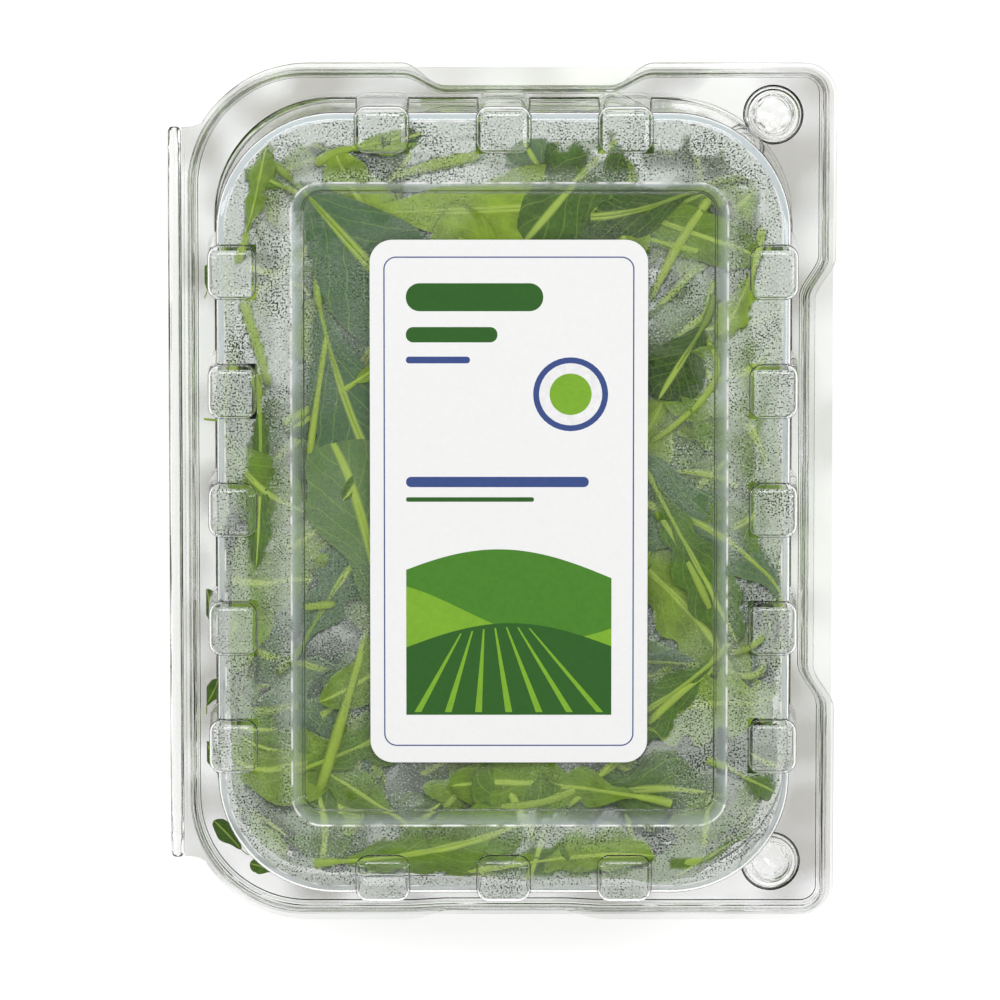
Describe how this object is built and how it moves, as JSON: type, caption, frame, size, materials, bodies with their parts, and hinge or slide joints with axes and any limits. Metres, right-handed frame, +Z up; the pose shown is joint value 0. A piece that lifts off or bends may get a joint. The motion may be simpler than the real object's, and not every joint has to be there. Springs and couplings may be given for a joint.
{
  "type": "clear hinged plastic box of rocket leaves",
  "caption": "Shut clear plastic box with a hinged domed lid, recessed top panel and paper label, packed with lobed rocket leaves on pale stems.",
  "frame": {"origin": "on the surface that the box stands on, below the middle of its bounding box", "axes": "+X from the hinge to the opening edge, +Y along the box, +Z up"},
  "size_m": [0.1464, 0.1916, 0.0654],
  "materials": {
    "clear_plastic": "clear thermoformed sheet, glossy, misted inside over the leaves",
    "label_paper": null,
    "rocket_leaf": "fresh leaf, satin, with pale stems"
  },
  "bodies": {
    "tray": {"base_tray": "clear_plastic", "rocket_leaves": "rocket_leaf"},
    "lid": {"lid_shell": "clear_plastic", "label": "label_paper"}
  },
  "joints": [
    {"name": "lid_hinge", "type": "hinge", "parent": "tray", "child": "lid", "pos_m": [-0.0717, 0, 0.048], "axis": [0, -1, 0], "range_deg": [0, 180]}
  ]
}
